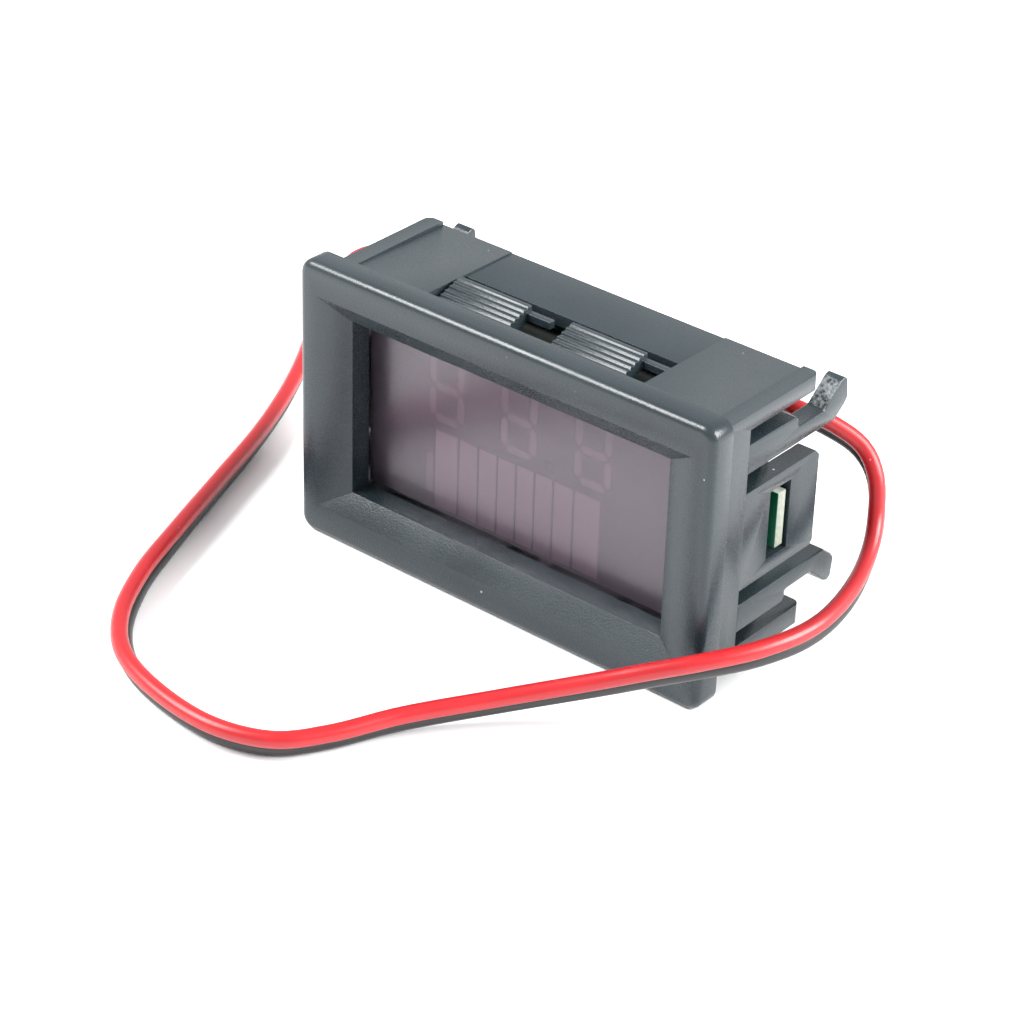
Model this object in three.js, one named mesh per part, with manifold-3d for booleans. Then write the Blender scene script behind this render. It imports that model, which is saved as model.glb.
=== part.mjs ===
// Snap-in panel voltmeter with a three-digit display over a battery bar graph, on a red and
// black twin lead. Millimetres, +Z up. The front face looks along -Y, X runs along the long side
// of the face, and the origin is under the middle of the case at the level of the bezel's lower
// edge. Depths below are counted from the front face, and the whole part is set forward at the
// end by half the case's depth.

import * as THREE from 'three';
import { mergeVertices } from 'three/addons/utils/BufferGeometryUtils.js';
import Module from 'manifold-3d';

const wasm = await Module();
wasm.setup();

// ---------------------------------------------------------------- driving dimensions

const BEZEL_WIDTH = 48;
const BEZEL_HEIGHT = 29;
const BEZEL_THICKNESS = 2.75;
const BEZEL_CORNER_RADIUS = 1.5;
const BEZEL_FRONT_ROUND = 0.8;
const CENTRE_Z = BEZEL_HEIGHT / 2;

const WINDOW_WIDTH = 37;
const WINDOW_HEIGHT = 18.35;
const WINDOW_DEPTH = 1.4;
const SIDE_RIM = 2.2;
const TOP_RIM = 3.3;

const BODY_HALF_WIDTH = 22.85;
const BODY_BOTTOM = 1.5;
const BODY_TOP = BEZEL_HEIGHT - BODY_BOTTOM;
const BODY_REAR = 17;
const BODY_CORNER_RADIUS = 0.8;
const TOP_WALL = 1.6;
const BOTTOM_STRIP = 2.0;
const SIDE_WALL = 1.95;
const FRONT_PLATE = 3.7;
const INNER_HALF_WIDTH = BODY_HALF_WIDTH - SIDE_WALL;

const GAP = 0.3;
const SNUG = 0.1;

const SLOT_FRONT = 6.9;
const TAB_BOTTOM = 9.4;
const TAB_TOP = 19.4;
const TAB_REAR = 18;
const EAR_WINDOW = { front: 10.7, rear: 13.8, bottom: 10.9, top: 18 };

const ARM_AXIS_Z = 14.6;
const ARM_INNER = 6.8;
const ARM_OUTER_ROOT = 9.7;
const ARM_OUTER_BEAM = 8.5;
const ARM_STEP_Y = 14.1;
const ARM_REAR = 21.95;

const PAD_WINDOW = { halfWidth: 12.5, front: 4, rear: 10.4 };
const PAD_LENGTH = 8.5;
const PAD_LEDGE_LENGTH = 11.2;
const PAD_STARTS = [-12.1, 1.2];
const PAD_REAR = 9.2;
const PAD_TEETH = 8;
const PAD_TOOTH_DEPTH = 0.26;
const PAD_FRONT_HEIGHT = 26.15;
const PAD_REAR_HEIGHT = 27.72;
const PAD_THICKNESS = 1.3;

const LENS_FRONT = 4;
const LENS_THICKNESS = 1.2;
const LENS_HALF_WIDTH = 19.6;
const LENS_HALF_HEIGHT = 10.1;

const DISPLAY_FRONT = 5.5;
const DISPLAY_REAR = 11.9;
const DISPLAY_HALF_WIDTH = 19.4;
const DISPLAY_BOTTOM = 5;
const DISPLAY_TOP = 24.1;
const DISPLAY_FACE = 1;
const CARRIER_FRONT = 10.85;
const EPOXY_REAR = 7.3;

const DIGIT_WIDTH = 4.3;
const DIGIT_HEIGHT = 7.5;
const DIGIT_STROKE = 0.9;
const DIGIT_PITCH = 8.65;
const DIGIT_MIDDLE_X = -1.25;
const DIGIT_MIDDLE_Z = 18.3;
const SEGMENT_GAP = 0.14;

const BAR_LEFT = -11.2;
const BAR_BOTTOM = 5.35;
const BAR_TOP = 13.65;
const BAR_WIDTHS = [2.95, 2.4, 2.3, 2.25, 2.2, 2.2, 2.4, 3.2];
const BAR_GAP = 0.26;
const TIP_WIDTH = 0.85;
const TIP_HEIGHT = 4.4;
const TIP_MIDDLE_Z = 8.8;

const BOARD_FRONT = 12.3;
const BOARD_REAR = 13.5;
const BOARD_HALF_WIDTH = 20.5;
const BOARD_BOTTOM = 3.7;
const BOARD_TOP = 25.4;
const EAR_REACH = 22.6;
const EAR_BOTTOM = 11.3;
const EAR_TOP = 17;
const PIN_COLUMNS = [-16, -9.6, -3.2, 3.2, 9.6, 16];
const PIN_ROWS = [6.2, 22.9];
const PIN_RADIUS = 0.3;
const PIN_HOLE_RADIUS = 0.5;

const WIRE_DIAMETER = 1.6;
const WIRE_SIDES = 8;
const WIRE_STEPS = 72;
const TIP_LENGTH = 6;
const LEAD_START = [6.4, 15.2, 20.7];
const SOLDER_SPACING = 2.54;

// Middle of the twin lead from the board to its free end: x, y, z, the lean in degrees of the
// red wire over the black one (0 stands on edge, 90 lies flat), and the wires' spacing.
const LEAD_ROUTE = [
  [...LEAD_START, 0, SOLDER_SPACING],
  [6.4, 16.5, 20.8, 8, 2.1],
  [7.4, 19.3, 20.9, 20, 1.8],
  [10.5, 21.1, 20.8, 32, 1.8],
  [17.3, 21.4, 19.9, 42, 1.8],
  [20.3, 23.4, 18.4, 45, 1.8],
  [22.9, 24.8, 16.5, 42, 1.8],
  [24.8, 24.6, 14.4, 28, 1.8],
  [26.1, 23.4, 10.6, 2, 1.8],
  [27.3, 20.6, 8.5, -12, 1.8],
  [29.1, 14.7, 7.5, -16, 1.8],
  [29.6, 8.6, 7.2, -23, 1.8],
  [28.1, 3.2, 7, -29, 1.8],
  [25.1, -1.5, 6.6, -33, 1.8],
  [21.8, -4.3, 5.6, -36, 1.8],
  [18.4, -6.9, 4.4, -36, 1.8],
  [12, -12.9, 2.7, -36, 1.8],
  [6.6, -19.9, 1.9, -35, 1.8],
  [3.5, -25.8, 1.6, -35, 1.8],
  [0.8, -29.5, 1.6, -35, 1.8],
  [-4.2, -31.5, 1.62, -32, 1.8],
  [-11.7, -31.1, 1.65, -28, 1.8],
  [-17.8, -29.1, 1.69, -22, 1.8],
  [-22.2, -25.5, 1.75, -8, 1.8],
  [-26.3, -19.2, 1.75, 7, 1.8],
  [-29.7, -11.2, 1.73, 16, 1.8],
  [-33.1, -2.4, 1.7, 21, 1.8],
  [-36.7, 7, 1.7, 24, 1.8],
  [-40.2, 14.6, 1.7, 22, 1.8],
  [-44, 21.4, 1.72, 20, 1.8],
  [-48.9, 29, 1.74, 14, 1.8],
  [-53.5, 37.9, 1.76, 8, 1.8],
  [-55.3, 42.4, 1.76, 7, 1.8],
  [-54.5, 45.3, 1.75, 10, 1.8],
  [-51.7, 47.2, 1.7, 24, 1.8],
  [-46.8, 47.6, 1.36, 58, 1.8],
  [-39, 46.2, 0.94, 86, 1.8],
  [-28, 43, 0.87, 90, 2.1],
  [-20, 40.4, 0.87, 90, 3.4],
];

// ---------------------------------------------------------------- finishes

function finish(color, roughness, metalness = 0) {
  return new THREE.MeshStandardMaterial({ color, roughness, metalness });
}

const CASE_PLASTIC = () => finish(0x3a4042, 0.42);
const SMOKED_ACRYLIC = () => finish(0x5a4850, 0.12);
const DISPLAY_PLASTIC = () => finish(0x5c555d, 0.6);
const EPOXY = () => finish(0xa08c94, 0.5);
const BOARD_LAMINATE = () => finish(0x0a5a3a, 0.45);
const CHIP_RESIN = () => finish(0x202224, 0.55);
const CERAMIC = () => finish(0xb89a6c, 0.5);
const SOLDER = () => finish(0xc4c6c8, 0.3, 0.9);
const RED_INSULATION = () => finish(0xe8202c, 0.4);
const BLACK_INSULATION = () => finish(0x202020, 0.45);

// ---------------------------------------------------------------- solid helpers

function toSolid(geometry) {
  const bare = geometry.clone();
  bare.deleteAttribute('normal');
  bare.deleteAttribute('uv');
  const merged = mergeVertices(bare, 1e-5);
  return new wasm.Manifold(new wasm.Mesh({
    numProp: 3,
    vertProperties: new Float32Array(merged.attributes.position.array),
    triVerts: new Uint32Array(merged.index.array),
  }));
}

function toGeometry(solid) {
  const mesh = solid.getMesh();
  const geometry = new THREE.BufferGeometry();
  geometry.setAttribute('position', new THREE.BufferAttribute(mesh.vertProperties, 3));
  geometry.setIndex(new THREE.BufferAttribute(mesh.triVerts, 1));
  geometry.computeVertexNormals();
  return geometry;
}

function join(solids) {
  return solids.reduce((whole, next) => whole.add(next));
}

function block(x0, x1, y0, y1, z0, z1) {
  const geometry = new THREE.BoxGeometry(x1 - x0, y1 - y0, z1 - z0);
  geometry.translate((x0 + x1) / 2, (y0 + y1) / 2, (z0 + z1) / 2);
  return toSolid(geometry);
}

function shapeOf(points) {
  return new THREE.Shape(points.map(([a, b]) => new THREE.Vector2(a, b)));
}

// A (y, z) outline swept from x0 to x1.
function sweepX(points, x0, x1) {
  const geometry = new THREE.ExtrudeGeometry(shapeOf(points), { depth: x1 - x0, bevelEnabled: false });
  geometry.applyMatrix4(new THREE.Matrix4().makeBasis(
    new THREE.Vector3(0, 1, 0),
    new THREE.Vector3(0, 0, 1),
    new THREE.Vector3(1, 0, 0),
  ));
  geometry.translate(x0, 0, 0);
  return toSolid(geometry);
}

// An (x, z) shape swept from y0 to y1.
function sweepY(shape, y0, y1) {
  const geometry = new THREE.ExtrudeGeometry(shape, { depth: y1 - y0, bevelEnabled: false });
  geometry.rotateX(Math.PI / 2);
  geometry.translate(0, y1, 0);
  return toSolid(geometry);
}

// An (x, y) shape swept from z0 to z1.
function sweepZ(shape, z0, z1) {
  const geometry = new THREE.ExtrudeGeometry(shape, {
    depth: z1 - z0, bevelEnabled: false, curveSegments: 4,
  });
  geometry.translate(0, 0, z0);
  return toSolid(geometry);
}

function roundedRectangle(halfWidth, halfHeight, radius) {
  const shape = new THREE.Shape();
  shape.moveTo(halfWidth, -halfHeight + radius);
  shape.lineTo(halfWidth, halfHeight - radius);
  shape.absarc(halfWidth - radius, halfHeight - radius, radius, 0, Math.PI / 2);
  shape.lineTo(-halfWidth + radius, halfHeight);
  shape.absarc(-halfWidth + radius, halfHeight - radius, radius, Math.PI / 2, Math.PI);
  shape.lineTo(-halfWidth, -halfHeight + radius);
  shape.absarc(-halfWidth + radius, -halfHeight + radius, radius, Math.PI, 1.5 * Math.PI);
  shape.lineTo(halfWidth - radius, -halfHeight);
  shape.absarc(halfWidth - radius, -halfHeight + radius, radius, 1.5 * Math.PI, 2 * Math.PI);
  return shape;
}

const part = new THREE.Group();
part.position.y = -ARM_REAR / 2;

function addPart(name, solid, material) {
  const mesh = new THREE.Mesh(toGeometry(solid), material);
  mesh.name = name;
  part.add(mesh);
}

// ---------------------------------------------------------------- housing

// The bezel's front edges and corners are rounded; its back is a flat flange.
function bezelBlank() {
  const shape = roundedRectangle(
    BEZEL_WIDTH / 2 - BEZEL_FRONT_ROUND,
    BEZEL_HEIGHT / 2 - BEZEL_FRONT_ROUND,
    BEZEL_CORNER_RADIUS - BEZEL_FRONT_ROUND,
  );
  const geometry = new THREE.ExtrudeGeometry(shape, {
    depth: BEZEL_THICKNESS,
    bevelThickness: BEZEL_FRONT_ROUND,
    bevelSize: BEZEL_FRONT_ROUND,
    bevelSegments: 4,
    curveSegments: 4,
  });
  geometry.rotateX(Math.PI / 2);
  geometry.translate(0, BEZEL_THICKNESS + BEZEL_FRONT_ROUND, CENTRE_Z);
  const rear = block(-30, 30, BEZEL_THICKNESS, BEZEL_THICKNESS + 4, -5, 40);
  return toSolid(geometry).subtract(rear);
}

// A four-sided funnel from the rim's inner crease back to the display window.
function windowFunnel() {
  const overrun = 0.35;
  const widthStep = (BEZEL_WIDTH / 2 - SIDE_RIM) - WINDOW_WIDTH / 2;
  const heightStep = (BEZEL_HEIGHT / 2 - TOP_RIM) - WINDOW_HEIGHT / 2;
  const grow = 1 + overrun / WINDOW_DEPTH;
  const geometry = new THREE.BoxGeometry(1, WINDOW_DEPTH + overrun, 1);
  const position = geometry.attributes.position;
  for (let i = 0; i < position.count; i += 1) {
    const front = position.getY(i) < 0 ? grow : 0;
    position.setX(i, Math.sign(position.getX(i)) * (WINDOW_WIDTH / 2 + widthStep * front));
    position.setZ(i, Math.sign(position.getZ(i)) * (WINDOW_HEIGHT / 2 + heightStep * front));
  }
  geometry.translate(0, (WINDOW_DEPTH - overrun) / 2, CENTRE_Z);
  return toSolid(geometry);
}

function bodyBlank() {
  const shape = new THREE.Shape();
  const front = 2;
  const radius = BODY_CORNER_RADIUS;
  shape.moveTo(-BODY_HALF_WIDTH, front);
  shape.lineTo(BODY_HALF_WIDTH, front);
  shape.lineTo(BODY_HALF_WIDTH, BODY_REAR - radius);
  shape.absarc(BODY_HALF_WIDTH - radius, BODY_REAR - radius, radius, 0, Math.PI / 2);
  shape.lineTo(-BODY_HALF_WIDTH + radius, BODY_REAR);
  shape.absarc(-BODY_HALF_WIDTH + radius, BODY_REAR - radius, radius, Math.PI / 2, Math.PI);
  return sweepZ(shape, BODY_BOTTOM, BODY_TOP);
}

// The middle of a long wall falls away slightly to the rear, which leaves a strip at each end.
function wallRelief(direction) {
  const stripInner = 21.05;
  const wall = direction > 0 ? BODY_TOP : BODY_BOTTOM;
  const outside = wall + direction;
  return sweepX([
    [BEZEL_THICKNESS, wall - direction * 0.05],
    [BODY_REAR + 1, wall - direction * 0.32],
    [BODY_REAR + 1, outside],
    [BEZEL_THICKNESS, outside],
  ], -stripInner, stripInner);
}

// Behind the pad window the wall is thinner again.
function windowRelief(direction) {
  const wall = direction > 0 ? BODY_TOP : BODY_BOTTOM;
  const floor = wall - direction * 0.42;
  const outside = wall + direction;
  return block(
    -PAD_WINDOW.halfWidth, PAD_WINDOW.halfWidth,
    PAD_WINDOW.rear - 0.5, BODY_REAR + 1,
    Math.min(floor, outside), Math.max(floor, outside),
  );
}

function padWindow(direction) {
  const wall = direction > 0 ? BODY_TOP : BODY_BOTTOM;
  return block(
    -PAD_WINDOW.halfWidth, PAD_WINDOW.halfWidth,
    PAD_WINDOW.front, PAD_WINDOW.rear, wall - 3, wall + 3,
  );
}

function sideTab(side) {
  const x0 = side > 0 ? INNER_HALF_WIDTH : -BODY_HALF_WIDTH;
  const outline = [
    [SLOT_FRONT - 0.5, TAB_BOTTOM],
    [TAB_REAR - 0.4, TAB_BOTTOM],
    [TAB_REAR, TAB_BOTTOM + 0.4],
    [TAB_REAR, TAB_TOP - 0.6],
    [TAB_REAR - 0.6, TAB_TOP],
    [SLOT_FRONT - 0.5, TAB_TOP],
  ];
  const hole = block(
    side > 0 ? 20 : -24, side > 0 ? 24 : -20,
    EAR_WINDOW.front, EAR_WINDOW.rear, EAR_WINDOW.bottom, EAR_WINDOW.top,
  );
  return sweepX(outline, x0, x0 + SIDE_WALL).subtract(hole);
}

function housing() {
  let solid = bezelBlank().add(bodyBlank());
  const cutters = [
    windowFunnel(),
    block(
      -WINDOW_WIDTH / 2, WINDOW_WIDTH / 2, WINDOW_DEPTH - 0.01, FRONT_PLATE + 1,
      CENTRE_Z - WINDOW_HEIGHT / 2, CENTRE_Z + WINDOW_HEIGHT / 2,
    ),
    block(
      -INNER_HALF_WIDTH, INNER_HALF_WIDTH, FRONT_PLATE, BODY_REAR + 2,
      BODY_BOTTOM + TOP_WALL, BODY_TOP - TOP_WALL,
    ),
  ];
  for (const side of [-1, 1]) {
    const edges = [side * (INNER_HALF_WIDTH - 0.01), side * (BODY_HALF_WIDTH + 1)].sort((a, b) => a - b);
    cutters.push(block(
      edges[0], edges[1], SLOT_FRONT, BODY_REAR + 2,
      BODY_BOTTOM + BOTTOM_STRIP, BODY_TOP - TOP_WALL,
    ));
  }
  for (const direction of [-1, 1]) {
    cutters.push(wallRelief(direction), windowRelief(direction), padWindow(direction));
  }
  for (const cutter of cutters) {
    solid = solid.subtract(cutter);
  }
  return solid.add(sideTab(-1)).add(sideTab(1));
}

addPart('housing', housing(), CASE_PLASTIC());

// ---------------------------------------------------------------- snap arms

// Outline of an arm, as (depth, distance from the middle height): a deep root, a slimmer beam
// and a hook that turns outwards behind the walls.
const ARM_OUTLINE = [
  [SLOT_FRONT + GAP, ARM_INNER],
  [20.1, ARM_INNER],
  [21.5, ARM_INNER + 1.1],
  [ARM_REAR, ARM_INNER + 1.7],
  [21.7, 10.4],
  [21.15, 10.75],
  [20.6, 10.5],
  [18.25, ARM_OUTER_BEAM],
  [ARM_STEP_Y + 0.35, ARM_OUTER_BEAM],
  [ARM_STEP_Y + 0.2, ARM_OUTER_ROOT - 0.4],
  [ARM_STEP_Y - 0.2, ARM_OUTER_ROOT],
  [SLOT_FRONT + GAP, ARM_OUTER_ROOT],
];

for (const [sideName, side] of [['left', -1], ['right', 1]]) {
  for (const [levelName, level] of [['lower', -1], ['upper', 1]]) {
    const outline = ARM_OUTLINE.map(([y, reach]) => [y, ARM_AXIS_Z + level * reach]);
    const x0 = side > 0 ? INNER_HALF_WIDTH : -BODY_HALF_WIDTH;
    addPart(`${sideName}_${levelName}_snap_arm`, sweepX(outline, x0, x0 + SIDE_WALL), CASE_PLASTIC());
  }
}

// ---------------------------------------------------------------- serrated panel grips

// Each grip is a tongue that rises to the rear, with saw teeth across it and a plain ledge that
// runs on past the teeth along its free edge.
function gripOutline(level) {
  const front = PAD_WINDOW.front + GAP;
  const pitch = (PAD_REAR - front) / PAD_TEETH;
  const rise = (PAD_REAR_HEIGHT - PAD_FRONT_HEIGHT) / PAD_TEETH;
  const points = [[PAD_REAR, PAD_REAR_HEIGHT - PAD_THICKNESS], [PAD_REAR, PAD_REAR_HEIGHT]];
  for (let tooth = PAD_TEETH - 1; tooth >= 0; tooth -= 1) {
    const crestY = front + pitch * tooth + pitch * 0.25;
    const crestZ = PAD_FRONT_HEIGHT + rise * tooth + PAD_TOOTH_DEPTH;
    points.push([crestY, Math.min(crestZ, PAD_REAR_HEIGHT)]);
    points.push([front + pitch * tooth, PAD_FRONT_HEIGHT + rise * tooth]);
  }
  points.push([front, PAD_FRONT_HEIGHT - PAD_THICKNESS]);
  return points.map(([y, z]) => [y, level > 0 ? z : BEZEL_HEIGHT - z]);
}

function gripLedge(level, x0) {
  const low = PAD_REAR_HEIGHT - PAD_THICKNESS;
  const high = PAD_REAR_HEIGHT - 0.55;
  const z0 = level > 0 ? low : BEZEL_HEIGHT - high;
  return block(x0, x0 + PAD_LEDGE_LENGTH, PAD_REAR - 0.75, PAD_REAR, z0, z0 + high - low);
}

for (const [levelName, level] of [['lower', -1], ['upper', 1]]) {
  PAD_STARTS.forEach((x0, index) => {
    const solid = sweepX(gripOutline(level), x0, x0 + PAD_LENGTH).add(gripLedge(level, x0));
    addPart(`${['left', 'right'][index]}_${levelName}_panel_grip`, solid, CASE_PLASTIC());
  });
}

// ---------------------------------------------------------------- lens and display module

addPart('smoked_lens', block(
  -LENS_HALF_WIDTH, LENS_HALF_WIDTH, LENS_FRONT, LENS_FRONT + LENS_THICKNESS,
  CENTRE_Z - LENS_HALF_HEIGHT, CENTRE_Z + LENS_HALF_HEIGHT,
), SMOKED_ACRYLIC());

// Six-pointed stroke of a digit, lying along x or standing along z.
function strokeShape(x, z, halfLength, upright, grow) {
  const half = DIGIT_STROKE / 2 + grow;
  const reach = halfLength + grow;
  const points = [
    [-reach, 0], [-reach + half, -half], [reach - half, -half],
    [reach, 0], [reach - half, half], [-reach + half, half],
  ];
  return shapeOf(points.map(([a, b]) => (upright ? [x - b, z + a] : [x + a, z + b])));
}

function digitStrokes(centreX, grow) {
  const sideX = (DIGIT_WIDTH - DIGIT_STROKE) / 2;
  const rowZ = (DIGIT_HEIGHT - DIGIT_STROKE) / 2;
  const strokes = [-1, 0, 1].map((row) => (
    strokeShape(centreX, DIGIT_MIDDLE_Z + row * rowZ, sideX - SEGMENT_GAP, false, grow)
  ));
  for (const column of [-1, 1]) {
    for (const row of [-0.5, 0.5]) {
      strokes.push(strokeShape(
        centreX + column * sideX, DIGIT_MIDDLE_Z + row * rowZ, rowZ / 2 - SEGMENT_GAP, true, grow,
      ));
    }
  }
  return strokes;
}

const DIGIT_CENTRES = [-1, 0, 1].map((step) => DIGIT_MIDDLE_X + step * DIGIT_PITCH);

function digitBack(centreX, grow, y0, y1) {
  return block(
    centreX - DIGIT_WIDTH / 2 - grow, centreX + DIGIT_WIDTH / 2 + grow, y0, y1,
    DIGIT_MIDDLE_Z - DIGIT_HEIGHT / 2 - grow, DIGIT_MIDDLE_Z + DIGIT_HEIGHT / 2 + grow,
  );
}

// The bars stand side by side, the first and the last a little wider, and a short one to their
// left makes the battery's terminal.
const bars = [];
let barEdge = BAR_LEFT;
BAR_WIDTHS.forEach((width, index) => {
  bars.push({
    name: `battery_bar_${index + 1}`, x0: barEdge, x1: barEdge + width - BAR_GAP, z0: BAR_BOTTOM, z1: BAR_TOP,
  });
  barEdge += width;
});
bars.push({
  name: 'battery_terminal_bar',
  x0: BAR_LEFT - BAR_GAP - TIP_WIDTH,
  x1: BAR_LEFT - BAR_GAP,
  z0: TIP_MIDDLE_Z - TIP_HEIGHT / 2,
  z1: TIP_MIDDLE_Z + TIP_HEIGHT / 2,
});
bars.push({
  name: 'decimal_point', x0: 2.1, x1: 2.95, z0: 14.55, z1: 15.4,
});

// Opaque reflector block: a light well opens behind every stroke and bar, and the carrier sits in
// a shallow pocket in its back.
function displayBody() {
  let solid = block(
    -DISPLAY_HALF_WIDTH, DISPLAY_HALF_WIDTH, DISPLAY_FRONT, DISPLAY_REAR, DISPLAY_BOTTOM, DISPLAY_TOP,
  );
  solid = solid.subtract(block(
    -DISPLAY_HALF_WIDTH + 0.8, DISPLAY_HALF_WIDTH - 0.8, CARRIER_FRONT - 0.15, DISPLAY_REAR + 1,
    DISPLAY_BOTTOM + 0.3, DISPLAY_TOP - 0.8,
  ));
  const wellRear = CARRIER_FRONT;
  const growth = SNUG / 2;
  for (const centreX of DIGIT_CENTRES) {
    for (const stroke of digitStrokes(centreX, growth)) {
      solid = solid.subtract(sweepY(stroke, DISPLAY_FRONT - 1, DISPLAY_FRONT + DISPLAY_FACE + 0.1));
    }
    solid = solid.subtract(digitBack(centreX, SNUG, DISPLAY_FRONT + DISPLAY_FACE, wellRear));
  }
  for (const bar of bars) {
    solid = solid.subtract(block(
      bar.x0 - growth, bar.x1 + growth, DISPLAY_FRONT - 1, wellRear, bar.z0 - growth, bar.z1 + growth,
    ));
  }
  return solid;
}

addPart('display_body', displayBody(), DISPLAY_PLASTIC());

DIGIT_CENTRES.forEach((centreX, index) => {
  const strokes = digitStrokes(centreX, 0).map((stroke) => (
    sweepY(stroke, DISPLAY_FRONT, DISPLAY_FRONT + DISPLAY_FACE + 0.3)
  ));
  const back = digitBack(centreX, 0, DISPLAY_FRONT + DISPLAY_FACE + SNUG, EPOXY_REAR);
  addPart(`digit_${index + 1}`, join([...strokes, back]), EPOXY());
});

for (const bar of bars) {
  addPart(bar.name, block(bar.x0, bar.x1, DISPLAY_FRONT, EPOXY_REAR, bar.z0, bar.z1), EPOXY());
}

// Carrier of the light-emitting chips, one chip in front of it for every stroke and bar.
function ledCarrier() {
  const side = 0.4;
  const chip = (x, z) => block(
    x - side / 2, x + side / 2, CARRIER_FRONT - 0.3, CARRIER_FRONT + 0.1, z - side / 2, z + side / 2,
  );
  const chips = bars.map((bar) => chip((bar.x0 + bar.x1) / 2, (bar.z0 + bar.z1) / 2));
  for (const centreX of DIGIT_CENTRES) {
    const sideX = (DIGIT_WIDTH - DIGIT_STROKE) / 2;
    const rowZ = (DIGIT_HEIGHT - DIGIT_STROKE) / 2;
    for (const row of [-1, 0, 1]) {
      chips.push(chip(centreX, DIGIT_MIDDLE_Z + row * rowZ));
    }
    for (const column of [-1, 1]) {
      chips.push(chip(centreX + column * sideX, DIGIT_MIDDLE_Z + rowZ / 2));
      chips.push(chip(centreX + column * sideX, DIGIT_MIDDLE_Z - rowZ / 2));
    }
  }
  const plate = block(
    -DISPLAY_HALF_WIDTH + 0.95, DISPLAY_HALF_WIDTH - 0.95, CARRIER_FRONT, DISPLAY_REAR - 0.15,
    DISPLAY_BOTTOM + 0.45, DISPLAY_TOP - 0.95,
  );
  return join([plate, ...chips]);
}

addPart('led_carrier', ledCarrier(), BOARD_LAMINATE());

// ---------------------------------------------------------------- circuit board

// The board has an ear at each end, which snaps into the window of the side tab, and a row of
// holes along each long edge for the display's pins.
function mainBoard() {
  const shape = shapeOf([
    [-BOARD_HALF_WIDTH, BOARD_BOTTOM],
    [BOARD_HALF_WIDTH, BOARD_BOTTOM],
    [BOARD_HALF_WIDTH, EAR_BOTTOM],
    [EAR_REACH, EAR_BOTTOM],
    [EAR_REACH, EAR_TOP],
    [BOARD_HALF_WIDTH, EAR_TOP],
    [BOARD_HALF_WIDTH, BOARD_TOP],
    [-BOARD_HALF_WIDTH, BOARD_TOP],
    [-BOARD_HALF_WIDTH, EAR_TOP],
    [-EAR_REACH, EAR_TOP],
    [-EAR_REACH, EAR_BOTTOM],
    [-BOARD_HALF_WIDTH, EAR_BOTTOM],
  ]);
  for (const x of PIN_COLUMNS) {
    for (const z of PIN_ROWS) {
      const hole = new THREE.Path();
      hole.absarc(x, z, PIN_HOLE_RADIUS, 0, 2 * Math.PI, true);
      shape.holes.push(hole);
    }
  }
  const geometry = new THREE.ExtrudeGeometry(shape, {
    depth: BOARD_REAR - BOARD_FRONT, bevelEnabled: false, curveSegments: 4,
  });
  geometry.rotateX(Math.PI / 2);
  geometry.translate(0, BOARD_REAR, 0);
  return toSolid(geometry);
}

addPart('main_board', mainBoard(), BOARD_LAMINATE());

// A turned solid whose axis runs along +Y from (x, y, z); the profile is radius, distance.
function turned(profile, x, y, z, sides) {
  const geometry = new THREE.LatheGeometry(profile.map(([r, d]) => new THREE.Vector2(r, d)), sides);
  geometry.translate(x, y, z);
  return toSolid(geometry);
}

// Each display pin ends in its cone of solder behind the board.
let pinNumber = 0;
for (const z of PIN_ROWS) {
  for (const x of PIN_COLUMNS) {
    pinNumber += 1;
    const start = DISPLAY_REAR + SNUG;
    const solderFoot = BOARD_REAR + SNUG - start;
    addPart(`display_pin_${pinNumber}`, turned([
      [0, 0],
      [PIN_RADIUS, 0],
      [PIN_RADIUS, solderFoot],
      [0.8, solderFoot],
      [0.62, solderFoot + 0.3],
      [0.34, solderFoot + 0.75],
      [0.28, solderFoot + 1.1],
      [0, solderFoot + 1.15],
    ], x, start, z, 8), SOLDER());
  }
}

const SEAT = BOARD_REAR + SNUG;

// A small-outline chip: a resin body with a row of leads along each long side.
function smallOutline(x, z, length, width, height, leads, pitch) {
  const solids = [block(x - length / 2, x + length / 2, SEAT + 0.1, SEAT + height, z - width / 2, z + width / 2)];
  for (let lead = 0; lead < leads; lead += 1) {
    const centre = x + (lead - (leads - 1) / 2) * pitch;
    for (const side of [-1, 1]) {
      const reach = [side * (width / 2 - 0.2), side * (width / 2 + 0.95)].sort((a, b) => a - b);
      solids.push(block(
        centre - pitch * 0.2, centre + pitch * 0.2, SEAT, SEAT + 0.3, z + reach[0], z + reach[1],
      ));
    }
  }
  return join(solids);
}

addPart('display_driver_chip', smallOutline(-6, 14.6, 6.5, 4.4, 1.1, 10, 0.65), CHIP_RESIN());
addPart('voltage_regulator', smallOutline(5, 13.6, 4.5, 2.6, 1.5, 3, 1.5), CHIP_RESIN());
addPart('input_diode', join([
  block(12.9, 17.1, SEAT + 0.2, SEAT + 1.9, 16.4, 18.9),
  block(12.3, 17.7, SEAT, SEAT + 0.8, 17, 18.3),
]), CHIP_RESIN());

// Chip capacitors and resistors: a body between two end caps that stand a little proud.
function chipPassive(x, z, length, width, height) {
  const cap = length * 0.22;
  const proud = 0.04;
  return join([
    block(
      x - length / 2 + 0.05, x + length / 2 - 0.05, SEAT + proud, SEAT + height, z - width / 2, z + width / 2,
    ),
    block(
      x - length / 2, x - length / 2 + cap, SEAT, SEAT + height + proud,
      z - width / 2 - proud, z + width / 2 + proud,
    ),
    block(
      x + length / 2 - cap, x + length / 2, SEAT, SEAT + height + proud,
      z - width / 2 - proud, z + width / 2 + proud,
    ),
  ]);
}

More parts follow.
